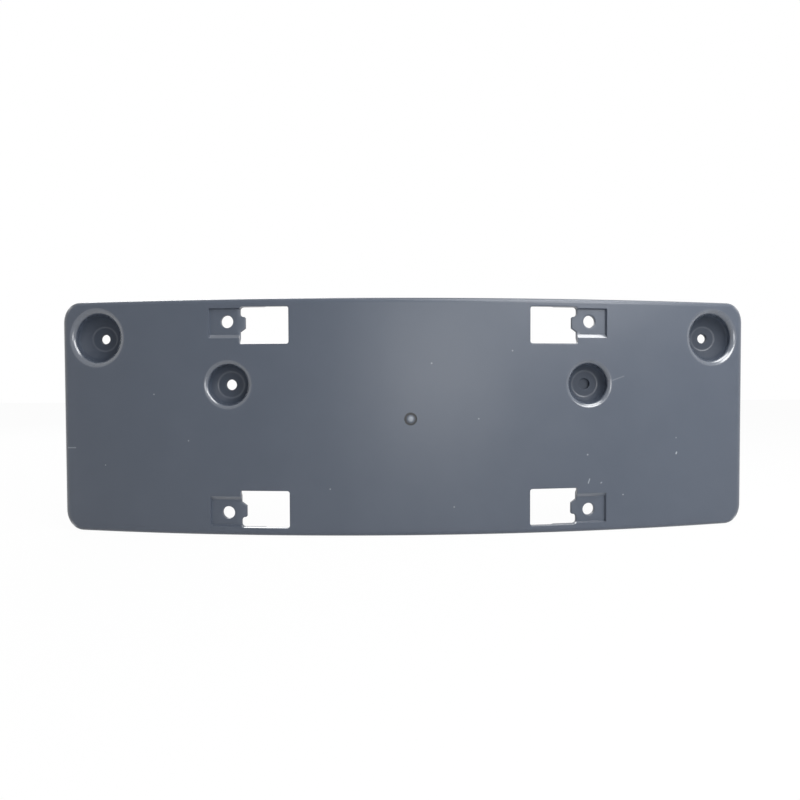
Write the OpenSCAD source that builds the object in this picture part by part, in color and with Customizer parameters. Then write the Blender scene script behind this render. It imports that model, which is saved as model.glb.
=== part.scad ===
// Number plate holder for a car's bumper, moulded in one piece.
// X runs along the plate, Y runs from the front face back to the bumper, Z is up.
// The origin is the middle of the four number plate screws, level with the floors
// of their seats.

/* [Plate] */
// Width, straight across the two ends
plate_w = 415; // [408:1:460]
// Height
plate_h = 136; // [134:1:160]
// Radius of the bow that follows the bumper
bow_r = 915; // [700:5:1600]
// Wall of the moulding
wall = 2.4; // [1.8:0.1:3]
// Radius of the plate's corners, seen from the front
corner_r = 12; // [8:0.5:16]
// Depth of the rim that stands on the bumper
rim_depth = 11; // [8:0.5:14]
// Rounding between the face and the rim along the top and bottom
long_edge_r = 2.6; // [1.5:0.1:3.5]
// Softer rounding between the face and the rim at the two ends
end_edge_r = 5; // [3:0.5:6]

/* [Number plate screws] */
// Distance between the screws along the plate
screw_span_x = 210; // [200:1:230]
// Distance between the screws across the plate
screw_span_z = 110; // [106:1:112]
// Clearance hole for a number plate screw
screw_hole_d = 7.2; // [5:0.1:8]

/* [Nut seats] */
// How far a seat's floor lies under the face
seat_depth = 1.6; // [1:0.1:2.4]
// From the screw to the seat's wall at the plate's end side
seat_to_end = 10.1; // [8:0.1:14]
// From the screw to the seat's wall at the plate's long edge
seat_to_edge = 7.3; // [6:0.1:8]
// From the screw to the foot of the ramp on the mid-line side
seat_to_ramp = 7.5; // [6:0.1:9]
// Width of the ramp up to the face
ramp_w = 2.2; // [1:0.1:4]
// Length of the lead-in that thins the tongue
lead_in_w = 4.8; // [3:0.1:6]
// How much the lead-in takes off at the tongue's tip
lead_in_drop = 0.9; // [0.3:0.1:1.2]

/* [Windows] */
// Length of a window
window_w = 28.2; // [20:0.1:34]
// From the screw to the window
window_gap = 7.6; // [6:0.1:10]
// From the screw up to the window's side at the plate's long edge
window_to_edge = 8.3; // [7.8:0.1:9]
// From the screw down to the window's side towards the mid-line
window_to_mid = 12.9; // [9:0.1:16]
// Corner radius of the window
window_r = 1.3; // [0.6:0.1:2]
// How far the tongue reaches into the window
tongue_reach = 3; // [2:0.1:4]
// Height of the tongue at its tip
tongue_h = 6.6; // [4:0.1:8]
// How far the tongue's middle lies from the screw, towards the mid-line
tongue_shift = 0.6; // [0:0.1:1]
// Height of the tongue's slanted flank
tongue_flank = 2.2; // [1:0.1:4]
// Chamfer on the tongue's outer corner
tongue_chamfer = 0.6; // [0.3:0.1:1]
// Radius in the notch above the tongue
notch_r = 1.9; // [1:0.1:2.2]

/* [Outer screw pockets] */
// Distance between the outer bumper screws
outer_span = 368.4; // [350:0.2:370]
// Height of the outer bumper screws above the mid-line
outer_z = 46.7; // [42:0.1:47.4]
// Diameter of the pocket below its lip
outer_bore_d = 28; // [24:0.5:29]
// Depth of the pocket, from the face to its floor
outer_depth = 11; // [9:0.5:16]
// Diameter of the pocket's floor
outer_floor_d = 14.4; // [12:0.2:18]
// Rounding of the pocket's lip
outer_lip_r = 5; // [2:0.1:5.5]
// Hole for the outer bumper screw
outer_hole_d = 5.8; // [4:0.1:7]

/* [Inner screw pockets] */
// Distance between the inner bumper screws
inner_span = 209; // [180:1:230]
// Height of the inner bumper screws above the mid-line
inner_z = 18.8; // [10:0.1:20]
// Diameter of the pocket below its lip
inner_bore_d = 23.2; // [20:0.2:26]
// Depth of the pocket, from the face to its floor
inner_depth = 8.5; // [8:0.5:14]
// Diameter of the pocket's floor
inner_floor_d = 15.2; // [12:0.2:16]
// Rounding of the pocket's lip
inner_lip_r = 3.6; // [1.5:0.1:4]
// Hole for the inner bumper screw, open in the left pocket only
inner_hole_d = 6.2; // [4:0.1:7]
// Skin that closes the same hole in the right pocket
closed_skin = 0.8; // [0.5:0.1:1.5]

/* [Pocket walls] */
// Wall round a pocket
cup_wall = 2.2; // [1.6:0.1:3]
// Thickness of a pocket's floor
floor_t = 2.4; // [2:0.1:3]
// Share of a pocket's depth that is straight, above its bowl
straight_share = 0.42; // [0.3:0.02:0.6]
// How far the bowl has turned in where it meets the floor, in degrees
bowl_turn = 62; // [45:1:75]
// Thickness of the webs that brace a pocket
web_t = 1.6; // [1.2:0.1:2.4]
// How far a web reaches out from the pocket
web_reach = 7; // [4:0.5:10]
// Share of a pocket's depth that its webs cover
web_share = 0.8; // [0.5:0.05:0.9]

/* [Gate mark] */
// Height of the gate above the mid-line
gate_z = -1; // [-5:0.5:5]
// Outside diameter of the ring groove round the gate
gate_ring_d = 7; // [5:0.5:10]
// Width of the groove
gate_groove_w = 1; // [0.6:0.1:1.5]
// Depth of the groove
gate_groove_depth = 0.4; // [0.2:0.1:0.8]
// Diameter of the nub that is left where the plastic was let in
gate_nub_d = 2.8; // [1:0.1:3.5]
// How far the nub stands out of the face
gate_nub_h = 0.2; // [0.1:0.1:0.5]

/* [Hidden] */
$fn = 96;
// Every arc below that is drawn as short lines has this many to the quarter turn
arc_steps = 8;
// Steps of the large bow, counted over a full turn
bow_fn = 1440;
// How far a cutter runs past the surface that it opens
over = 3;
// The same where little room is left behind that surface
past = 1;
// Least rounding on the inside of the rim
least_r = 0.4;
// How far an end's rounding stops short of running level with the face, in degrees
end_crease = 4;
// How far the cutter stands off the face beyond that rounding
face_gap = 0.1;
// How far a lip's rounding runs on inside the wall of its pocket
lip_inside = 0.3;
// Angle at which a lip's rounding meets the face, in degrees
lip_crease = 12;
// Angle at which a lip's rounding meets the wall of its pocket, in degrees
wall_crease = 25;
// Depth that clears the longest pocket
behind = bow_y(plate_w / 2) + rim_depth + outer_depth + inner_depth + over;
// The bow is drawn a little past the plate's ends
bow_sweep = 2 * asin(plate_w / 2 / bow_r) + 2;
half_w = plate_w / 2;
half_h = plate_h / 2;
screw_x = screw_span_x / 2;
screw_z = screw_span_z / 2;
window_x1 = screw_x - window_gap;
window_x0 = window_x1 - window_w;
window_z0 = screw_z - window_to_mid;
window_z1 = screw_z + window_to_edge;
tongue_z0 = screw_z - tongue_shift - tongue_h / 2;
tongue_z1 = screw_z - tongue_shift + tongue_h / 2;
seat_x1 = screw_x + seat_to_end;
seat_z0 = screw_z - seat_to_ramp;
seat_z1 = screw_z + seat_to_edge;
// The seats' floors at the screws, measured back from the middle of the face
seat_y = bow_y(screw_x) + seat_depth;

// How far the face has curved back at a distance x from the middle
function bow_y(x) = bow_r - sqrt(bow_r * bow_r - x * x);

// Points along an arc round (cx, cy), from angle a0 to angle a1
function arc(cx, cy, r, a0, a1) =
    [for (i = [0 : arc_steps])
        let (a = a0 + (a1 - a0) * i / arc_steps)
        [cx + r * cos(a), cy + r * sin(a)]];

// Turns a profile of (distance from the bow's axis, height) along the bow
module along_bow() {
    translate([0, bow_r, 0])
        rotate([0, 0, -90 - bow_sweep / 2])
            rotate_extrude(angle = bow_sweep, $fn = bow_fn)
                children();
}

// Extrudes an outline of (x, z) from depth y0 to depth y1
module along_y(y0, y1) {
    translate([0, y1, 0])
        rotate([90, 0, 0])
            linear_extrude(y1 - y0)
                children();
}

// Turns a profile of (radius, depth) round the Y direction through (x, z)
module round_y(x, z) {
    translate([x, bow_y(x), z])
        rotate([-90, 0, 0])
            rotate_extrude()
                children();
}

// Turns a profile of (radius, depth) round the line square to the face at (x, z),
// from the side that lies towards the plate's mid-line
module round_normal(x, z) {
    translate([0, bow_r, 0])
        rotate([0, 0, asin(x / bow_r)])
            translate([0, -bow_r, z])
                rotate([-90, 0, 0])
                    rotate([0, 0, 90])
                        rotate_extrude()
                            children();
}

// Draws the children on both sides of the plate's middle
module left_and_right() {
    children();
    mirror([1, 0, 0])
        children();
}

// Draws the children at all four number plate screws, from the upper right one
module four_corners() {
    left_and_right() {
        children();
        mirror([0, 0, 1])
            children();
    }
}

// Outer block of the plate: bowed face, rounded long edges, softer ends and
// round corners, all moved in by inset, from the face to the given depth
module block(inset, depth) {
    h = half_h - inset;
    w = half_w - inset;
    face_r = bow_r - inset;
    long_r = max(long_edge_r - inset, least_r);
    end_r = max(end_edge_r - inset, least_r);
    end_a = asin((w - end_r) / (face_r - end_r));
    end_cx = w - end_r;
    end_cy = bow_r - (face_r - end_r) * cos(end_a);
    round_r = corner_r - inset;
    end_arc = arc(end_cx, end_cy, end_r, 0, end_a + end_crease - 90);
    gap_r = end_r + face_gap;
    off_face = [end_cx + gap_r * sin(end_a), end_cy - gap_r * cos(end_a)];
    right_end = concat([[w, behind]], end_arc, [off_face, [off_face[0], -over]]);
    left_end = [for (i = [len(right_end) - 1 : -1 : 0]) [-right_end[i][0], right_end[i][1]]];
    intersection() {
        along_bow()
            polygon(concat([[bow_r - depth, -h]],
                arc(face_r - long_r, long_r - h, long_r, -90, 0),
                arc(face_r - long_r, h - long_r, long_r, 0, 90),
                [[bow_r - depth, h]]));
        linear_extrude(plate_h + 2 * over, center = true)
            polygon(concat(right_end, left_end));
        along_y(-over, behind - over)
            polygon(concat(
                arc(w - round_r, h - round_r, round_r, 0, 90),
                arc(round_r - w, h - round_r, round_r, 90, 180),
                arc(round_r - w, round_r - h, round_r, 180, 270),
                arc(w - round_r, round_r - h, round_r, 270, 360)));
    }
}

// Bowed face with the rim all round it
module shell() {
    difference() {
        block(0, rim_depth);
        block(wall, rim_depth + over);
    }
}

// Side wall of a pocket as (radius, depth): nearly straight down from the mouth,
// then a bowl that narrows to the edge of the floor
function pocket_side(bore_r, floor_r, depth) =
    let (bowl_top = depth * straight_share)
    [for (i = [0 : arc_steps])
        let (a = bowl_turn * i / arc_steps)
        [bore_r - (bore_r - floor_r) * (1 - cos(a)) / (1 - cos(bowl_turn)),
         bowl_top + (depth - bowl_top) * sin(a) / sin(bowl_turn)]];

// Hollow of a pocket, with its lip rounded square to the tilted face
module pocket_hollow(x, z, bore_d, floor_d, depth, lip_r) {
    r = bore_d / 2;
    lip_depth = lip_r * (1 - sin(wall_crease));
    lip_centre_r = r - lip_inside + lip_r * cos(wall_crease);
    lip_x = x + x / bow_r * lip_depth;
    round_y(x, z)
        polygon(concat([[0, -2 * over], [r, -2 * over]],
            pocket_side(r, floor_d / 2, depth),
            [[0, depth]]));
    round_normal(lip_x, z)
        polygon(concat([[0, -over], [lip_centre_r + over, -over]],
            [for (i = [0 : arc_steps])
                let (a = lip_crease + (90 - wall_crease - lip_crease) * i / arc_steps)
                [lip_centre_r - lip_r * sin(a), lip_r - lip_r * cos(a)]],
            [[0, lip_depth]]));
}

// Outside of a pocket behind the face, with four webs that brace it
module pocket_cup(x, z, bore_d, floor_d, depth) {
    r = bore_d / 2 + cup_wall;
    web_end = depth * web_share;
    reach = r + web_reach;
    foot = r - cup_wall;
    round_y(x, z)
        polygon(concat([[0, -over], [r, -over]],
            pocket_side(r, floor_d / 2 + cup_wall, depth + floor_t),
            [[0, depth + floor_t]]));
    for (a = [45, 135])
        translate([x, bow_y(x), z])
            rotate([0, a, 0])
                translate([0, 0, -web_t / 2])
                    linear_extrude(web_t)
                        polygon([[-reach, -past], [reach, -past], [reach, wall],
                            [foot, web_end], [-foot, web_end], [-reach, wall]]);
}

// Screw hole through a wall at (x, z), open between two depths under the face
module screw_hole(x, z, d, from, to) {
    translate([x, bow_y(x) + from, z])
        rotate([-90, 0, 0])
            cylinder(h = to - from, d = d);
}

// Window beside a number plate screw, with the tongue left standing in it
module window() {
    tip_x = window_x1 - tongue_reach;
    along_y(-over, behind)
        polygon(concat(
            arc(window_x0 + window_r, window_z0 + window_r, window_r, 180, 270),
            arc(window_x1 - window_r / 2, window_z0 + window_r / 2, window_r / 2, 270, 360),
            [[window_x1, tongue_z0 - tongue_flank], [tip_x, tongue_z0],
             [tip_x, tongue_z1 - tongue_chamfer], [tip_x + tongue_chamfer, tongue_z1]],
            arc(window_x1 - notch_r, tongue_z1 + notch_r, notch_r, 270, 360),
            arc(window_x1 - notch_r, window_z1 - notch_r, notch_r, 0, 90),
            arc(window_x0 + window_r, window_z1 - window_r, window_r, 90, 180)));
}

// Slab of space between two distances from the middle of the plate
module slab(x0, x1) {
    translate([x0, -over, -half_h])
        cube([x1 - x0, behind, plate_h]);
}

// Recess for the clip nut: ramp on the mid-line side, steep walls on the others
module seat_hollow() {
    floor_r = bow_r - seat_depth;
    top_r = bow_r + over;
    slope = ramp_w / seat_depth;
    intersection() {
        along_bow()
            polygon([[top_r, seat_z0 - ramp_w - over * slope], [floor_r, seat_z0],
                [floor_r, seat_z1], [top_r, seat_z1]]);
        slab(window_x1 - tongue_reach - over, seat_x1);
    }
}

// Wedge that thins the tongue towards its tip, so that the clip nut slides on
module lead_in() {
    foot_x = window_x1 - tongue_reach + lead_in_w;
    tip_x = foot_x - lead_in_w - over;
    floor_y = bow_y(foot_x) + seat_depth;
    drop = lead_in_drop * (lead_in_w + over) / lead_in_w;
    translate([0, 0, seat_z0])
        linear_extrude(seat_z1 - seat_z0)
            polygon([[foot_x, floor_y], [foot_x, floor_y - past], [tip_x, floor_y - past],
                [tip_x, floor_y + drop - bow_y(foot_x) + bow_y(tip_x)]]);
}

// Thickening behind the nut seat, which keeps the wall its full thickness
module seat_back() {
    intersection() {
        along_bow()
            polygon([[bow_r - wall / 2, seat_z0 - ramp_w - wall],
                [bow_r - seat_depth - wall, seat_z0 - wall],
                [bow_r - seat_depth - wall, seat_z1 + wall],
                [bow_r - wall / 2, seat_z1 + wall]]);
        slab(window_x1 - tongue_reach, seat_x1 + wall);
    }
}

// Mark of the gate: a ring groove round a broken-off nub
module gate_groove() {
    groove_r = gate_ring_d / 2;
    round_y(0, gate_z)
        translate([groove_r - gate_groove_w, -over])
            square([gate_groove_w, over + gate_groove_depth]);
}

module gate_nub() {
    round_y(0, gate_z)
        polygon([[0, -gate_nub_h], [gate_nub_d / 2 - gate_nub_h, -gate_nub_h],
            [gate_nub_d / 2, wall / 2], [0, wall / 2]]);
}

module plate_holder() {
    outer_x = outer_span / 2;
    inner_x = inner_span / 2;
    color([0.33, 0.35, 0.39])
        translate([0, -seat_y, 0])
            difference() {
                union() {
                    shell();
                    intersection() {
                        block(wall / 2, behind - 2 * over);
                        union() {
                            left_and_right() {
                                pocket_cup(outer_x, outer_z, outer_bore_d, outer_floor_d, outer_depth);
                                pocket_cup(inner_x, inner_z, inner_bore_d, inner_floor_d, inner_depth);
                            }
                            four_corners()
                                seat_back();
                        }
                    }
                    gate_nub();
                }
                left_and_right() {
                    pocket_hollow(outer_x, outer_z, outer_bore_d, outer_floor_d, outer_depth, outer_lip_r);
                    screw_hole(outer_x, outer_z, outer_hole_d, outer_depth - past,
                        outer_depth + floor_t + past);
                    pocket_hollow(inner_x, inner_z, inner_bore_d, inner_floor_d, inner_depth, inner_lip_r);
                }
                screw_hole(-inner_x, inner_z, inner_hole_d, inner_depth - past,
                    inner_depth + floor_t + past);
                screw_hole(inner_x, inner_z, inner_hole_d, inner_depth - past,
                    inner_depth + floor_t - closed_skin);
                four_corners() {
                    window();
                    seat_hollow();
                    lead_in();
                    screw_hole(screw_x, screw_z, screw_hole_d, -over, 2 * over + wall);
                }
                gate_groove();
            }
}

plate_holder();
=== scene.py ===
import math

import bmesh
import bpy
import numpy as np
from mathutils import Matrix, Vector
from mathutils.geometry import delaunay_2d_cdt


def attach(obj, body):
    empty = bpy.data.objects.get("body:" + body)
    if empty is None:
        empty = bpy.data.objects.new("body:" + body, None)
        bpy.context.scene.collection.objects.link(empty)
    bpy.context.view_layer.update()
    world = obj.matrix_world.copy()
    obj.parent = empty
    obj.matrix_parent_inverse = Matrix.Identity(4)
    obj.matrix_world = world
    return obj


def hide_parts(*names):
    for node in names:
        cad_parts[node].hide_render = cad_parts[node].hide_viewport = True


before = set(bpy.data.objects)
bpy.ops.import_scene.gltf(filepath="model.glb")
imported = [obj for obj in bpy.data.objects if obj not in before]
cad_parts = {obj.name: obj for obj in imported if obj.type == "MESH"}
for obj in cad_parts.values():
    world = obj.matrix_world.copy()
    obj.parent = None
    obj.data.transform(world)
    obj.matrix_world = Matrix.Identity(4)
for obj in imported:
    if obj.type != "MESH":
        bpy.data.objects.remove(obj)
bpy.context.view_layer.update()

# Bowed plate and rim: one injection moulding of grey polypropylene, curved like the bumper
# that it is screwed to. The rim round its edge stands on the bumper, and the whole back is
# open. Its long edges are rounded tightly and its two ends more softly.
PLATE_W, PLATE_H = 0.415, 0.136
BOW_R = 0.915
WALL = 0.0024
CORNER_R = 0.012
RIM_DEPTH = 0.011
LONG_EDGE_R, END_EDGE_R = 0.0026, 0.005
BACK_EDGE_R = 0.0004
SCREW_X = 0.105  # from the middle to a number plate screw, where Y = 0 is the seat's floor
SEAT_DEPTH = 0.0016


def bow(x, depth=0.0):
    """Y of the cylinder that runs parallel to the face, depth below it: the bow's radius
    less depth is turned round the bow's axis, and the origin is level with the seats."""
    seat_y = BOW_R - math.sqrt(BOW_R ** 2 - SCREW_X ** 2) + SEAT_DEPTH
    return BOW_R - np.sqrt((BOW_R - depth) ** 2 - x ** 2) - seat_y


def place(plan, depth=0.0):
    """Puts plan points (x, z) on the cylinder that lies depth under the face."""
    x, z = plan[..., 0], plan[..., 1]
    return np.stack([x, bow(x, depth), z], -1)


class Skin:
    """Points and faces of one closed surface, gathered patch by patch."""

    def __init__(self):
        self.points, self.faces, self.count = [], [], 0

    def add(self, points, faces):
        self.points.append(points.reshape(-1, 3))
        self.faces += (faces + self.count).tolist()
        self.count += len(self.points[-1])

    def band(self, rows):
        """Quads from row to row, each row a closed ring of equally many points."""
        rows = np.stack(rows)
        m, n = rows.shape[:2]
        i, j = np.arange(m - 1)[:, None] * n, np.arange(n)
        k = (j + 1) % n
        quads = np.stack(np.broadcast_arrays(i + j, i + k, i + n + k, i + n + j), -1)
        self.add(rows, quads.reshape(-1, 4))

    def mesh(self, name, merge=2e-6):
        """One mesh with the patches' shared points merged and its faces turned outwards."""
        mesh = bpy.data.meshes.new(name)
        mesh.from_pydata(np.concatenate(self.points), [], self.faces)
        work = bmesh.new()
        work.from_mesh(mesh)
        bmesh.ops.remove_doubles(work, verts=work.verts, dist=merge)
        bmesh.ops.recalc_face_normals(work, faces=work.faces)
        work.to_mesh(mesh)
        work.free()
        return mesh


def outline():
    """Centres and outward directions round the plate, a quarter turn at each corner and a
    straight run between. A point of the outline lies CORNER_R from its centre, so every
    inset has the same stations."""
    a, b = PLATE_W / 2 - CORNER_R, PLATE_H / 2 - CORNER_R
    across, up, bend = 84, 28, 14
    parts = []
    for corner, next_corner, start, n in (
            ((a, b), (-a, b), 0, across), ((-a, b), (-a, -b), 90, up),
            ((-a, -b), (a, -b), 180, across), ((a, -b), (a, b), 270, up)):
        angle = np.radians(np.concatenate([
            start + 90 * np.arange(bend) / bend, np.full(n, start + 90)]))
        t = np.concatenate([np.zeros(bend), np.arange(n) / n])[:, None]
        centre = np.array(corner) * (1 - t) + np.array(next_corner) * t
        parts.append(np.concatenate([centre, np.cos(angle)[:, None], np.sin(angle)[:, None]], 1))
    every = np.concatenate(parts)
    return every[:, :2], every[:, 2:]


CENTRES, OUTWARD = outline()
# The edge is tighter along the top and bottom than at the ends, and blends in the corners
EDGE_R = LONG_EDGE_R + (END_EDGE_R - LONG_EDGE_R) * OUTWARD[:, 0] ** 2


def rim_loop(inset):
    """Plan points of the outline moved in by inset: each lies the corner's radius less the
    inset away from its centre."""
    return CENTRES + OUTWARD * (CORNER_R - inset * np.ones(len(CENTRES)))[:, None]


def rim_rows():
    """Profile (inset, depth) carried round the outline: rounded edge, wall, back edge,
    then the inside of the rim up to the back of the face."""
    quarter = np.radians(np.linspace(0, 90, 9))
    inner_r = EDGE_R - WALL
    profile = [(EDGE_R * (1 - math.sin(a)), EDGE_R * (1 - math.cos(a))) for a in quarter]
    e = BACK_EDGE_R
    profile += [(e * (1 - math.cos(a)), RIM_DEPTH - e + e * math.sin(a)) for a in quarter[::4]]
    profile += [(WALL - e + e * math.sin(a), RIM_DEPTH - e + e * math.cos(a))
                for a in quarter[::4]]
    profile += [(WALL + inner_r * (1 - math.cos(a)), WALL + inner_r * (1 - math.sin(a)))
                for a in quarter[::2]]
    return [place(rim_loop(inset), depth) for inset, depth in profile]


# Windows: four openings that let the clip nuts be pushed on from the middle. A tongue is
# left standing in each one's outer side, and the nut slides over it to the screw hole.
SCREW_Z = 0.055
WINDOW_TO_SCREW, WINDOW_W = 0.0076, 0.0282
WINDOW_BELOW, WINDOW_ABOVE = 0.0129, 0.0083  # both from the screw hole's middle
WINDOW_CORNER_R, NOTCH_R = 0.0013, 0.0019
TONGUE_L, TONGUE_BELOW, TONGUE_ABOVE = 0.003, 0.0039, 0.0027
TONGUE_SLANT, TONGUE_CHAMFER = 0.0022, 0.0006
RIM_R = 0.00035  # small rounding round windows, screw holes and seats


def turn(x, z, r, start, end, n=5):
    """Plan points along an arc, r times the angle's cosine and sine from its middle, with
    start and end in degrees."""
    a = np.radians(np.linspace(start, end, n))
    return np.stack([x + r * np.cos(a), z + r * np.sin(a)], -1)


def circle(x, z, r, n):
    """Plan points evenly round a circle."""
    return turn(x, z, r, 0, 360, n + 1)[:-1]


def fine(corners, step=0.002, closed=False):
    """Points at most step apart along the straight lines between corners."""
    corners = np.asarray(corners)
    ends = np.roll(corners, -1, 0) if closed else corners[1:]
    parts = []
    for a, b in zip(corners, ends):
        n = max(1, math.ceil(math.dist(a, b) / step))
        parts.append(a + (b - a) * (np.arange(n) / n)[:, None])
    if not closed:
        parts.append(corners[-1:])
    return np.concatenate(parts)


def grown(loop, by):
    """A closed loop moved outwards: each point goes along the mean of its two sides'
    normals, divided by the cosine of half the turn."""
    side = np.roll(loop, -1, 0) - loop
    normal = np.stack([side[:, 1], -side[:, 0]], -1) / np.linalg.norm(side, axis=1)[:, None]
    mean = normal + np.roll(normal, 1, 0)
    return loop + by * 2 * mean / (mean ** 2).sum(1)[:, None]


def distance(points, loop):
    """Shortest distance from each plan point to a closed loop's sides."""
    a = loop[None]
    side = np.roll(loop, -1, 0)[None] - a
    to = points[:, None] - a
    along = np.clip((to * side).sum(-1) / (side ** 2).sum(-1), 0, 1)
    return np.linalg.norm(to - along[..., None] * side, axis=-1).min(1)


def inside(points, loop):
    """True where a ray from the plan point towards +X crosses the loop an odd number of times."""
    x, z = points[:, None, 0], points[:, None, 1]
    (x0, z0), (x1, z1) = loop.T[:, None], np.roll(loop, -1, 0).T[:, None]
    spans = (z0 > z) != (z1 > z)
    with np.errstate(divide="ignore", invalid="ignore"):
        hits = spans & (x < x0 + (z - z0) / (z1 - z0) * (x1 - x0))
    return hits.sum(1) % 2 == 1


def window_loop():
    """Outline of the upper right window, from its foot round by the outer side: arcs at the
    corners, and the tongue's slanted foot, blunt tip and straight top in between."""
    x1 = SCREW_X - WINDOW_TO_SCREW
    x0 = x1 - WINDOW_W
    z0, z1 = SCREW_Z - WINDOW_BELOW, SCREW_Z + WINDOW_ABOVE
    tip_x, tip_z0, tip_z1 = x1 - TONGUE_L, SCREW_Z - TONGUE_BELOW, SCREW_Z + TONGUE_ABOVE
    r, sharp = WINDOW_CORNER_R, WINDOW_CORNER_R / 2
    tongue = [(x1, tip_z0 - TONGUE_SLANT), (tip_x, tip_z0),
              (tip_x, tip_z1 - TONGUE_CHAMFER), (tip_x + TONGUE_CHAMFER, tip_z1)]
    return fine(np.concatenate([
        turn(x0 + r, z0 + r, r, 180, 270), turn(x1 - sharp, z0 + sharp, sharp, 270, 360),
        tongue, turn(x1 - NOTCH_R, tip_z1 + NOTCH_R, NOTCH_R, 270, 360),
        turn(x1 - NOTCH_R, z1 - NOTCH_R, NOTCH_R, 0, 90),
        turn(x0 + r, z1 - r, r, 90, 180)]), closed=True)


WINDOW = window_loop()
LEAST_X, MOST_X = WINDOW[:, 0].min(), WINDOW[:, 0].max()


def rounded(d):
    """Drop at distance d from an edge that is rounded by RIM_R: the radius less the height
    of a quarter circle there."""
    s = np.clip(1 - d / RIM_R, 0, 1)
    return RIM_R * (1 - np.sqrt(1 - s ** 2))


# Nut seats: shallow recesses beside the windows, in which the clip nuts lie level with the
# face. Their mid-line side is a ramp, and the tongue gets thinner towards its tip.
SCREW_R = 0.0036
SEAT_END, SEAT_EDGE = SCREW_X + 0.0101, SCREW_Z + 0.0073
SEAT_FOOT, SEAT_TOP = SCREW_Z - 0.0075, SCREW_Z - 0.0097
LEAD_IN_X, LEAD_IN_W, LEAD_IN_DROP = 0.0992, 0.0048, 0.0009


def step_up(d):
    """0 outside and 1 inside a wall at d = 0, along a raised cosine as wide as two rims."""
    return 0.5 + 0.5 * np.sin(np.clip(d / RIM_R, -1, 1) * np.pi / 2)


def seat(u, w, spread=0.0):
    """Depth of the nut seats: a raised-cosine wall at the end and at the long edge, and a
    straight ramp on the mid-line side, all moved out by spread."""
    walls = step_up(SEAT_END + spread - u) * step_up(SEAT_EDGE + spread - w)
    ramp = np.clip((w - SEAT_TOP + spread) / (SEAT_FOOT - SEAT_TOP), 0, 1)
    return SEAT_DEPTH * np.minimum(walls, ramp) * (u > (LEAST_X + MOST_X) / 2)


def lead_in(u, w):
    """Extra depth of the tongue, which grows evenly towards its tip."""
    share = np.clip((LEAD_IN_X - u) / LEAD_IN_W, 0, 1)
    return LEAD_IN_DROP * share * (w > SEAT_FOOT) * (w < SEAT_EDGE) * (u > MOST_X - LEAD_IN_W)


# Gate mark: the ring groove and the nub that are left in the middle, where the plastic was
# let into the mould.
GATE_Z, GATE_RING, GATE_GROOVE, GATE_GROOVE_DEPTH = -0.001, 0.0035, 0.001, 0.0004
GATE_NUB_R, GATE_NUB_H = 0.0014, 0.0002
GROOVE_FLANK, NUB_FLANK = 0.00015, 0.0003


def gate_mark(plan):
    """Depth of the groove less the height of the nub: each rises evenly from 0 at its edge
    to its whole height over the width of its flank."""
    r = np.hypot(plan[:, 0], plan[:, 1] - GATE_Z)
    off_groove = np.abs(r - GATE_RING + GATE_GROOVE / 2)
    groove = np.clip((GATE_GROOVE / 2 - off_groove) / GROOVE_FLANK, 0, 1)
    nub = np.clip((GATE_NUB_R - r) / NUB_FLANK, 0, 1)
    return GATE_GROOVE_DEPTH * groove - GATE_NUB_H * nub


def gate_circles():
    """Circles where the mark's flanks begin and end, with one outside and one in the nub."""
    inner = GATE_RING - GATE_GROOVE
    radii = (GATE_RING + 0.0006, GATE_RING, GATE_RING - GROOVE_FLANK, inner + GROOVE_FLANK,
             inner, GATE_NUB_R, GATE_NUB_R - NUB_FLANK, 0.0005)
    return [circle(0, GATE_Z, r, 32) for r in radii]


# Screw pockets: four cups in which the bumper screws sit. Each has a rounded lip, a nearly
# straight wall and a bowl down to a flat floor. Three floors have a screw hole, and the one
# on the inner right keeps a thin skin over it, for cars that have no screw there.
OUTER = dict(x=0.1842, z=0.0467, r=0.014, lip_r=0.0173, depth=0.011, floor_r=0.0072,
             hole_r=0.0029)
INNER = dict(x=0.1045, z=0.0188, r=0.0116, lip_r=0.014, depth=0.0085, floor_r=0.0076,
             hole_r=0.0031)
OFF_FACE, OFF_BORE = math.radians(10), math.radians(26)  # creases at the lip's two ends
STRAIGHT, BOWL_TURN = 0.42, math.radians(62)  # the wall's straight share, and the bowl's arc
LEAST_STRAIGHT = 0.0003
CUP_WALL, FLOOR_T, CLOSED_SKIN = 0.0022, 0.0024, 0.0008
CUP_ROOT = 0.0004  # height over which the cup's wall flares out to the back of the face
FILLET, HOLE_EDGE, HOLE_LAND = 0.0006, 0.00025, 0.0008
STATIONS = 96


def around():
    """Directions from a pocket's axis, evenly round it: the angle's cosine and sine."""
    a = np.arange(STATIONS) * 2 * np.pi / STATIONS
    return np.stack([np.cos(a), 0 * a, np.sin(a)], -1)


def ring(p, side, radius, y):
    """Ring of points round a pocket's axis: the axis plus radius times each direction, at
    the given y or at one y for each point."""
    points = np.array([side * p["x"], 0, p["z"]]) + radius * around()
    points[:, 1] = y
    return points


def bowl(p, side, radius, top_y, low_r, low_y, steps):
    """Rings down a bowl: the radius shrinks with 1 - cosine and the depth grows with sine."""
    rings = []
    for b in np.linspace(0, BOWL_TURN, steps):
        r = radius - (radius - low_r) * (1 - math.cos(b)) / (1 - math.cos(BOWL_TURN))
        y = top_y + (low_y - top_y) * math.sin(b) / math.sin(BOWL_TURN)
        rings.append(ring(p, side, r, y))
    return rings


def curve(start, middle, end, steps):
    """Rings along a quadratic curve, at shares t of the way: (1 - t) squared times start,
    2 t (1 - t) times middle and t squared times end."""
    return [start * (1 - t) ** 2 + middle * 2 * t * (1 - t) + end * t ** 2
            for t in np.linspace(0, 1, steps)]


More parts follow.
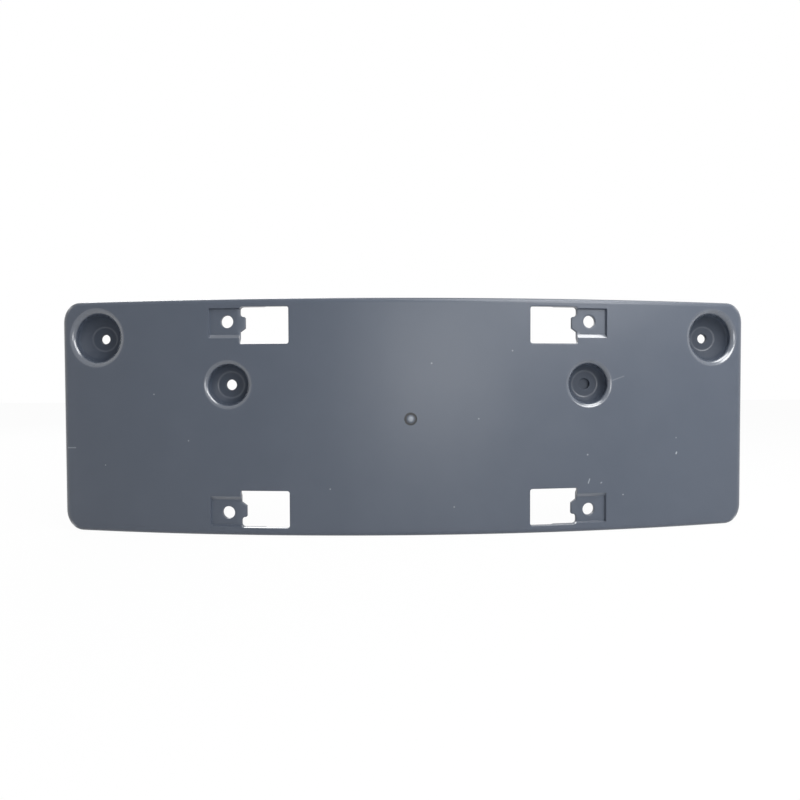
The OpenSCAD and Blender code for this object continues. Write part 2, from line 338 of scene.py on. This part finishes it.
def lip_rings(p, side):
    """The rounded lip: in each plane through the axis, a quadratic curve from the face to
    the bore. Its middle point has equal tangents to both ends, which leave the face by
    OFF_FACE and meet the bore by OFF_BORE."""
    cx, radial = side * p["x"], around()
    x = cx + p["lip_r"] * radial[:, 0]
    slope = np.arctan(radial[:, 0] * x / np.sqrt(BOW_R ** 2 - x ** 2))
    start = place(np.stack([x, p["z"] + p["lip_r"] * radial[:, 2]], -1))
    down = OFF_FACE - slope
    reach = ((p["lip_r"] - p["r"]) / (math.sin(OFF_BORE) + np.cos(down)))[:, None]
    middle = start - reach * np.cos(down)[:, None] * radial
    middle[:, 1] += reach[:, 0] * np.sin(down)
    end = middle - reach * math.sin(OFF_BORE) * radial
    end[:, 1] += reach[:, 0] * math.cos(OFF_BORE)
    return curve(start, middle, end, 9)


def pocket_rings(p, side, closed):
    """Rings from the lip down the pocket to its hole (lip, bowl, rounded foot, floor and
    the hole's edge), and rings back up outside the cup to the back of the face."""
    cx, hole_r = side * p["x"], p["hole_r"]
    floor_y = bow(cx) + p["depth"]
    rings = lip_rings(p, side)
    bowl_y = np.maximum(bow(cx) + STRAIGHT * p["depth"], rings[-1][:, 1] + LEAST_STRAIGHT)
    down = bowl(p, side, p["r"], bowl_y, p["floor_r"], floor_y, 13)
    foot, up = down[-1], down[-2] - down[-1]
    before = foot + up * FILLET / np.linalg.norm(up, axis=1)[:, None]
    after = ring(p, side, p["floor_r"] - FILLET, floor_y)
    rings += down[:-1] + curve(before, foot, after, 5)
    for out, drop in ((HOLE_LAND, 0), (HOLE_EDGE, 0), (HOLE_EDGE * 0.3, HOLE_EDGE * 0.3),
                      (0, HOLE_EDGE)):
        rings.append(ring(p, side, hole_r + out, floor_y + drop))
    cup_r, back_y = p["r"] + CUP_WALL, floor_y + FLOOR_T
    cup_x = cx + cup_r * around()[:, 0]
    outside = [ring(p, side, 0 if closed else hole_r, back_y)]
    outside += bowl(p, side, cup_r, bow(cx) + STRAIGHT * (p["depth"] + FLOOR_T),
                    p["floor_r"] + CUP_WALL, back_y, 9)[::-1]
    outside += [ring(p, side, cup_r, bow(cup_x, WALL) + CUP_ROOT),
                place(rings[0][:, ::2], WALL)]
    return rings, outside


# Webs: four thin fins behind each pocket, square to one another, that brace the cup against
# the back of the face.
WEB_T, WEB_REACH, WEB_SHARE = 0.0016, 0.007, 0.8
WEB_ANGLES = np.radians((45, 135, 225, 315))
WEB_FRONT, WEB_LEAST_BACK = 0.5, 0.75  # as shares of the face's wall


def web_rows(p, side, angle):
    """Cross-sections of one web from inside the cup's wall outwards, each a rectangle: the
    front stays inside the face's wall, and the back falls along a straight line to it."""
    cx, cup_r = side * p["x"], p["r"] + CUP_WALL
    r = np.linspace(p["r"] + CUP_WALL / 2, cup_r + WEB_REACH, 9)[:, None]
    away = np.array([math.cos(angle), math.sin(angle)])
    across = np.array([away[1], -away[0]]) * WEB_T / 2
    share = (r - p["r"]) / (cup_r + WEB_REACH - p["r"])
    back = bow(cx) + WEB_SHARE * p["depth"] * (1 - share) + WALL * share
    rows = []
    for sign, deep in ((-1, False), (1, False), (1, True), (-1, True)):
        plan = np.array([cx, p["z"]]) + r * away + sign * across
        points = place(plan, WALL * (WEB_LEAST_BACK if deep else WEB_FRONT))
        if deep:
            points[:, 1] = np.maximum(points[:, 1], back[:, 0])
        rows.append(points)
    return np.stack(rows, 1)


# The moulding put together: plate, rim, windows, seats, pockets and webs are one closed
# surface, as the plastic fills the mould in one shot. It is cut nowhere afterwards.
QUARTERS = [np.array([sx, sz]) for sx in (1, -1) for sz in (1, -1)]
COLLAR = 0.0003  # width of the narrow faces that keep the shading at an edge crisp
BACK_SPREAD = WALL - RIM_R  # how far the seats' walls lie further out on the back
GRID, CLEAR = 0.005, 0.0016  # step of the grid's points, and how far they stay from lines
# Where windows and screw holes lie, as distances from the middle; no other edge is there
OPENINGS_U, OPENINGS_W = (0.06, 0.12), (0.04, 0.0645)


def add_pockets(skin):
    """Puts the pockets and their webs into the skin, and gives the plan of their mouths."""
    mouths = []
    for p, side in ((OUTER, 1), (OUTER, -1), (INNER, 1), (INNER, -1)):
        closed = p is INNER and side > 0
        rings, outside = pocket_rings(p, side, closed)
        if closed:
            skin_y = bow(p["x"]) + p["depth"] + FLOOR_T - CLOSED_SKIN
            rings += [ring(p, side, p["hole_r"], skin_y), ring(p, side, 0, skin_y)]
            skin.band(rings)
            skin.band(outside)
        else:
            skin.band(rings + outside)
        for angle in WEB_ANGLES:
            rows = web_rows(p, side, angle)
            skin.band(list(rows))
            skin.add(rows[[0, -1]], np.array([[0, 1, 2, 3], [7, 6, 5, 4]]))
        mouths.append(rings[0][:, ::2])
    return mouths


def seat_lines():
    """Plan lines along which the upper right seat bends, on the face and on the back: steps
    across its walls, both ends of its ramp, and the start of the tongue's slope."""
    walls = np.array([-3, -1, -0.5, 0, 0.5, 1, 2]) * RIM_R
    middle_x, found = (LEAST_X + MOST_X) / 2, []
    for spread, steps in ((0, walls), (BACK_SPREAD, walls[1:-1:2])):
        for d in steps:
            x, z = SEAT_END + spread + d, SEAT_EDGE + spread + d
            found.append([(middle_x, z), (x, z), (x, SEAT_TOP - spread - RIM_R)])
    for z in (SEAT_TOP, SEAT_FOOT, SEAT_TOP - BACK_SPREAD, SEAT_FOOT - BACK_SPREAD):
        found.append([(middle_x, z), (SEAT_END + BACK_SPREAD + RIM_R, z)])
    found.append([(LEAD_IN_X, SEAT_FOOT), (LEAD_IN_X, SEAT_EDGE)])
    return [fine(np.array(line)) for line in found]


def plan_triangles(mouths):
    """The plate's plan as triangles: a square grid of points, kept clear of every edge and
    bend, is joined with them by Delaunay's rule, and the holes are left out."""
    small = np.array([0.16, 0.55, 1, 3]) * RIM_R
    rim, holes = rim_loop(EDGE_R), list(mouths)
    lines = [grown(mouth, COLLAR) for mouth in mouths] + [rim_loop(EDGE_R + COLLAR)]
    strings = []
    for sign in QUARTERS:
        holes += [WINDOW * sign, circle(SCREW_X, SCREW_Z, SCREW_R, 40) * sign]
        lines += [grown(WINDOW, d) * sign for d in small]
        lines += [circle(SCREW_X, SCREW_Z, SCREW_R + d, 40) * sign for d in small]
        strings += [line * sign for line in seat_lines()]
    loops = [rim] + holes + lines + gate_circles()
    edges, n = [], 0
    for group, closed in ((loops, 1), (strings, 0)):
        for line in group:
            k = np.arange(len(line) - 1 + closed)
            edges.append(np.stack([k, (k + 1) % len(line)], -1) + n)
            n += len(line)
    known = np.concatenate(loops + strings)
    spots = np.stack(np.meshgrid(
        np.arange(-PLATE_W / 2 + GRID / 2, PLATE_W / 2, GRID),
        np.arange(-PLATE_H / 2 + GRID / 2, PLATE_H / 2, GRID)), -1).reshape(-1, 2)
    near = np.concatenate([np.linalg.norm(part[:, None] - known[None], axis=-1).min(1)
                           for part in np.array_split(spots, 20)])
    spots = spots[(near > CLEAR) & inside(spots, rim_loop(EDGE_R + CLEAR))]
    plan, _, tris, *_ = delaunay_2d_cdt(
        [Vector(p) for p in np.concatenate([known, spots]).tolist()],
        np.concatenate(edges).tolist(), [], 0, 1e-6)
    plan, tris = np.array([tuple(p) for p in plan]), np.array(tris)
    middle = plan[tris].mean(1)
    in_hole = np.any([inside(middle, hole) for hole in holes], 0)
    return plan, tris[inside(middle, rim) & ~in_hole]


def opening_sides(plan, tris):
    """Sides of triangles that only one triangle has, where windows and screw holes lie."""
    sides = np.sort(np.concatenate([tris[:, :2], tris[:, 1:], tris[:, ::2]]), 1)
    sides, uses = np.unique(sides, axis=0, return_counts=True)
    sides = sides[uses == 1]
    u, w = np.abs(plan[sides].mean(1)).T
    (u0, u1), (w0, w1) = OPENINGS_U, OPENINGS_W
    return sides[(u > u0) & (u < u1) & (w > w0) & (w < w1)]


def build_moulding():
    """The whole surface: the face and its back are one plan of triangles, set at two
    depths and joined round the windows and screw holes; bands make the rim and pockets."""
    skin = Skin()
    skin.band(rim_rows())
    plan, tris = plan_triangles(add_pockets(skin))
    u, w = np.abs(plan).T
    depth = seat(u, w) + lead_in(u, w) + gate_mark(plan)
    depth += rounded(distance(np.stack([u, w], -1), WINDOW))
    depth += rounded(np.hypot(u - SCREW_X, w - SCREW_Z) - SCREW_R)
    sheets = np.concatenate([place(plan, depth), place(plan, WALL + seat(u, w, BACK_SPREAD))])
    skin.add(sheets, np.concatenate([tris, tris[:, ::-1] + len(plan)]))
    joins = opening_sides(plan, tris)
    skin.add(sheets, np.concatenate([joins, joins[:, ::-1] + len(plan)], 1))
    return skin.mesh("moulding")


def smooth(piece, angle=35):
    """Shades the piece smooth, apart from edges sharper than angle degrees."""
    bpy.context.scene.collection.objects.link(piece)
    bpy.context.view_layer.objects.active = piece
    piece.select_set(True)
    bpy.ops.object.shade_smooth_by_angle(angle=math.radians(angle))
    piece.select_set(False)


moulding = bpy.data.objects.new("moulding", build_moulding())
smooth(moulding)


# The plastic: satin slate grey polypropylene as it leaves the mould, with a very fine grain,
# faint flow marks, and the dust specks and few light scratches that the holder has.
class Shade:
    """One socket in a node tree. Python's operators on it add Math nodes, and add() puts in
    any other node."""

    def __init__(self, tree, socket=None):
        self.tree, self.socket = tree, socket

    def add(self, kind, settings, values, output=0):
        node = self.tree.nodes.new(kind)
        for name, value in settings.items():
            setattr(node, name, value)
        for key, value in values.items():
            if isinstance(value, Shade):
                self.tree.links.new(value.socket, node.inputs[key])
            else:
                node.inputs[key].default_value = value
        return Shade(self.tree, node.outputs[output] if node.outputs else None)

    def math(self, operation, *values, clamp=False):
        settings = {"operation": operation, "use_clamp": clamp}
        return self.add("ShaderNodeMath", settings, dict(enumerate(values)))

    def vector(self, operation, values, output="Vector"):
        return self.add("ShaderNodeVectorMath", {"operation": operation}, values, output)

    def __add__(self, other):
        return self.math("ADD", self, other)

    def __sub__(self, other):
        return self.math("SUBTRACT", self, other)

    def __rsub__(self, other):
        return self.math("SUBTRACT", other, self)

    def __mul__(self, other):
        return self.math("MULTIPLY", self, other)

    def __truediv__(self, other):
        return self.math("DIVIDE", self, other)

    def __rtruediv__(self, other):
        return self.math("DIVIDE", other, self)

    __radd__, __rmul__ = __add__, __mul__


PLASTIC = (0.054, 0.067, 0.092, 1)
PALER = (0.067, 0.081, 0.108, 1)
SHADE_IN_POCKETS = (0.023, 0.032, 0.05, 1)  # painted shade inside the pockets, darker than the face
DUST = (0.36, 0.39, 0.42, 1)
# painted shade for the gate mark's groove
GROOVE_SHADE = (0.012, 0.014, 0.018, 1)
# Specks and scratches on the face as (x0, z0, x1, z1, half width, strength), in millimetres
MARKS = (
    (160.3, -23.4, 160.6, -22.6, 0.45, 0.9), (104.2, -39.4, 105.0, -37.0, 0.35, 0.6),
    (103.7, -22.7, 103.7, -22.7, 0.5, 0.6), (125.9, -46.8, 125.9, -46.8, 0.45, 0.6),
    (112.0, -39.5, 112.4, -39.2, 0.4, 0.5), (160.2, -13.8, 160.2, -13.8, 0.4, 0.5),
    (119.0, 20.7, 126.0, 23.1, 0.35, 0.18), (-204.1, -18.4, -198.9, -18.3, 0.35, 0.45),
    (-128.0, -13.4, -128.0, -13.4, 0.45, 0.5), (-179.6, -28.3, -179.6, -28.3, 0.4, 0.5),
    (-148.6, 13.4, -148.6, 13.4, 0.45, 0.5), (12.0, 30.6, 12.0, 30.6, 0.5, 0.5),
    (58.6, 37.8, 58.6, 37.8, 0.45, 0.5), (39.0, -1.1, 39.0, -1.1, 0.45, 0.5),
    (-45.9, -40.8, -45.9, -40.8, 0.45, 0.5), (24.8, -51.5, 24.8, -51.5, 0.45, 0.5))

plastic = bpy.data.materials.new("plastic")
plastic.use_nodes = True
bsdf = plastic.node_tree.nodes["Principled BSDF"]
start = Shade(plastic.node_tree)
spot = start.add("ShaderNodeTexCoord", {}, {}, "Object")


def noise(scale, detail, stretch=(1, 1, 1)):
    """Noise from 0 to 1 on Object coordinates, each multiplied by its stretch."""
    at = start.vector("MULTIPLY", {0: spot, 1: stretch})
    return start.add("ShaderNodeTexNoise", {}, {"Vector": at, "Scale": scale, "Detail": detail})


def mark(x0, z0, x1, z1, half, strength):
    """Strength near a line on the face: 1.6 less 1.2 times the distance to it over its half
    width, kept from 0 to 1, times strength."""
    a, b = np.array([x0, 0, z0]) / 1000, np.array([x1, 0, z1]) / 1000
    flat = start.vector("MULTIPLY", {0: spot, 1: (1, 0, 1)})
    to = start.vector("SUBTRACT", {0: flat, 1: tuple(a)})
    if x0 != x1 or z0 != z1:
        way = (b - a) / ((b - a) ** 2).sum()
        along = start.vector("DOT_PRODUCT", {0: to, 1: tuple(way)}, "Value")
        along = start.math("MULTIPLY", along, 1, clamp=True)
        on = start.vector("SCALE", {0: tuple(b - a), "Scale": along})
        to = start.vector("SUBTRACT", {0: to, 1: on})
    far = start.vector("LENGTH", {0: to}, "Value")
    return start.math("SUBTRACT", 1.6, far / (half / 1000) * 1.2, clamp=True) * strength


def mix(share, below, above):
    """Colour below where share is 0, above where it is 1."""
    return start.add("ShaderNodeMix", {"data_type": "RGBA"}, {0: share, 6: below, 7: above}, 2)


def from_axis(at, x, z):
    """Distance in the plan from the line that runs front to back through x and z."""
    to = start.vector("MULTIPLY_ADD", {0: at, 1: (1, 0, 1), 2: (-x, 0, -z)})
    return start.vector("LENGTH", {0: to}, "Value")


def ramp_down(far, end, width):
    """1 up to end less width, falling evenly to 0 at end."""
    return start.math("MULTIPLY", end - far, 1 / width, clamp=True)


# Depth under the face: what the distance to the bow's axis lacks of the bow's radius
to_axis = start.vector("MULTIPLY_ADD", {0: spot, 1: (1, 1, 0), 2: (0, -float(bow(0)) - BOW_R, 0)})
below = BOW_R - start.vector("LENGTH", {0: to_axis}, "Value")
front = start.math("LESS_THAN", below, WALL / 2)

# Paler streaks where the plastic flowed, and the specks and scratches on the face alone
flow = noise(9, 3, (1, 1, 0.35))
blotch = noise(60, 3)
grain = noise(1500, 2)
wave = noise(28, 2, (1, 1, 0.5))
faded = start.math("MULTIPLY_ADD", flow + blotch * 0.4, 1.6, -0.62, clamp=True)
marks = mark(*MARKS[0])
for values in MARKS[1:]:
    marks = start.math("MAXIMUM", marks, mark(*values))
marks = marks * front

# Inside the pockets the plastic is rough and gets painted shade, apart from a painted highlight
# along the edge of the floor
FADE, LIP_OVERLAP = 0.0009, 0.0005
# Painted highlight: a lighter, smoother ring along the edge of each pocket's floor
FLOOR_HIGHLIGHT_HALF, FLOOR_HIGHLIGHT_FADE, FLOOR_HIGHLIGHT_SHARE = 0.0007, 0.0005, 0.25
folded = start.vector("ABSOLUTE", {0: spot})
upper = start.math("GREATER_THAN", start.add("ShaderNodeSeparateXYZ", {}, {0: spot}, "Z"), 0)
pocket_shade_parts, lips = [], []
for p in (OUTER, INNER):
    far = from_axis(folded, p["x"], p["z"])
    off_edge = start.math("ABSOLUTE", far - p["floor_r"])
    painted_floor_highlight = ramp_down(off_edge, FLOOR_HIGHLIGHT_HALF, FLOOR_HIGHLIGHT_FADE)
    # Painted shade: each pocket's inside gets a darker colour, less of it along the floor's edge
    pocket_shade_parts.append(ramp_down(far, p["r"], FADE) * upper * (1 - painted_floor_highlight * FLOOR_HIGHLIGHT_SHARE))
    lips.append(ramp_down(far, p["lip_r"] + LIP_OVERLAP, FADE) * upper)
painted_pocket_shade, lips = sum(pocket_shade_parts), sum(lips)

# The gate mark's groove gets painted shade, and the broken nub has turned pale
GROOVE_SHADE_HALF, GROOVE_SHADE_FADE = 0.0009, 0.0004
PALE_R, PALE_FADE = 0.0019, 0.0008
far = from_axis(spot, 0, GATE_Z)
off_groove = start.math("ABSOLUTE", far - GATE_RING + GATE_GROOVE / 2)
# Painted shade: a darker ring in the groove
groove = ramp_down(off_groove, GROOVE_SHADE_HALF, GROOVE_SHADE_FADE) * front
nub = ramp_down(far, PALE_R, PALE_FADE) * front

# Lips, ramps and the windows' rims come out of the mould glossier than the grained face
SLOPE_FROM, SLOPE_TO = 0.00012, 0.0015  # depths under the face
slopes = start.math("GREATER_THAN", below, SLOPE_FROM) * start.math("LESS_THAN", below, SLOPE_TO)
for axis, end in (("X", PLATE_W / 2 - END_EDGE_R), ("Z", PLATE_H / 2 - LONG_EDGE_R)):
    off_middle = start.add("ShaderNodeSeparateXYZ", {}, {0: folded}, axis)
    slopes = slopes * start.math("LESS_THAN", off_middle, end)
polish = start.math("MAXIMUM", lips, slopes) * (1 - painted_pocket_shade) * (1 - groove)

# The colour in layers, and the heights in metres of the grain and of slow waves under it
GRAIN_HEIGHT, WAVE_HEIGHT = 0.00001, 0.0003
colour = mix(marks, mix(faded, PLASTIC, PALER), DUST)
# Painted shade darkens the pockets and the gate mark's groove
colour = mix(nub * 0.5, mix(groove, mix(painted_pocket_shade, colour, SHADE_IN_POCKETS), GROOVE_SHADE), DUST)
roughness = blotch * 0.06 + marks * 0.2 + painted_pocket_shade * 0.4 - lips * 0.08 + 0.32
height = grain * GRAIN_HEIGHT + wave * WAVE_HEIGHT
bump = start.add("ShaderNodeBump", {}, {"Height": height, "Strength": 1.0, "Distance": 1.0})
varying = {"Base Color": colour, "Roughness": roughness, "Coat Weight": polish, "Normal": bump}
for key, value in varying.items():
    plastic.node_tree.links.new(value.socket, bsdf.inputs[key])
bsdf.inputs["Coat Roughness"].default_value = 0.2
bsdf.inputs["Coat IOR"].default_value = 1.7
moulding.data.materials.append(plastic)
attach(moulding, "root")
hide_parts("plate_holder")

# Studio: a plain white floor under the holder and an even white surround. The key lamp, high
# on the right in front, gives the highlights, and the front lamp the sheen in the middle of
# the face. Broad ones overhead, low on the right and behind fill in.
floor_z, reach = -PLATE_H / 2, 3
floor_mesh = bpy.data.meshes.new("floor")
floor_mesh.from_pydata([(-reach, -reach, floor_z), (reach, -reach, floor_z),
                        (reach, reach, floor_z), (-reach, reach, floor_z)], [], [(0, 1, 2, 3)])
floor = bpy.data.objects.new("floor", floor_mesh)
bpy.context.scene.collection.objects.link(floor)


def studio_white(shade, lit, white, share):
    """Shader white, up to share, where the camera sees it, also mirrored or through
    something clear, and lit for all other light."""
    rays = [shade.add("ShaderNodeLightPath", {}, {}, f"Is {kind} Ray")
            for kind in ("Camera", "Glossy", "Transmission")]
    seen = shade.math("MAXIMUM", rays[0], shade.math("MAXIMUM", rays[1], rays[2]))
    return shade.add("ShaderNodeMixShader", {}, {0: seen * share, 1: lit, 2: white})


paper = bpy.data.materials.new("floor paper")
paper.use_nodes = True
paper.node_tree.nodes.clear()
base = Shade(paper.node_tree)
matt = base.add("ShaderNodeBsdfDiffuse", {}, {"Color": (0.8, 0.8, 0.8, 1)})
glow = base.add("ShaderNodeEmission", {}, {"Color": (1, 1, 1, 1), "Strength": 1.0})
base.add("ShaderNodeOutputMaterial", {}, {"Surface": studio_white(base, matt, glow, 0.97)})
floor.data.materials.append(paper)


def area_light(name, stand, size, power):
    """Rectangular lamp that stands at the given point and faces the holder's middle."""
    data = bpy.data.lights.new(name, "AREA")
    data.shape = "RECTANGLE"
    data.size, data.size_y = size
    data.energy = power
    lamp = bpy.data.objects.new(name, data)
    lamp.location = stand
    lamp.rotation_euler = (-Vector(stand)).to_track_quat("-Z", "Y").to_euler()
    bpy.context.scene.collection.objects.link(lamp)


area_light("key", (0.5, -0.6, 0.42), (0.42, 0.42), 4.8)
area_light("overhead", (0.3, -0.22, 0.7), (0.7, 0.4), 5.8)
area_light("front", (0.15, -1.1, 0.02), (0.45, 0.45), 3.2)
area_light("bounce", (0.6, -0.5, -0.35), (0.4, 0.3), 3.1)
area_light("rear", (-0.4, 0.8, 0.6), (0.6, 0.6), 6)

world = bpy.data.worlds.new("studio")
bpy.context.scene.world = world
world.use_nodes = True
world.node_tree.nodes.clear()
sky = Shade(world.node_tree)
dim = sky.add("ShaderNodeBackground", {}, {"Color": (0.92, 0.96, 1.0, 1), "Strength": 0.12})
white = sky.add("ShaderNodeBackground", {}, {"Color": (1, 1, 1, 1), "Strength": 1.0})
sky.add("ShaderNodeOutputWorld", {}, {"Surface": studio_white(sky, dim, white, 1.0)})

# Viewpoint. The holder was photographed from close in front, a little left of its
# middle and above its mid-line, with a wide phone lens that sees 69 degrees.
EYE = Vector((-0.01563, -0.33799, 0.01760))
LOOK = Vector((0.02907756, 0.99930053, -0.02351473))
UP = Vector((0.00411034, 0.02340494, 0.99971762))
FOCAL_WIDTHS = 582.83 / 800  # focal length as a share of the picture's width

camera = bpy.data.objects.new("camera", bpy.data.cameras.new("camera"))
camera.data.lens = camera.data.sensor_width * FOCAL_WIDTHS
camera.data.clip_start = 0.01
right = LOOK.cross(UP)
camera.matrix_world = Matrix((
    (right.x, UP.x, -LOOK.x, EYE.x),
    (right.y, UP.y, -LOOK.y, EYE.y),
    (right.z, UP.z, -LOOK.z, EYE.z),
    (0, 0, 0, 1)))
bpy.context.scene.collection.objects.link(camera)
bpy.context.scene.camera = camera
bpy.context.scene.view_settings.view_transform = "Standard"
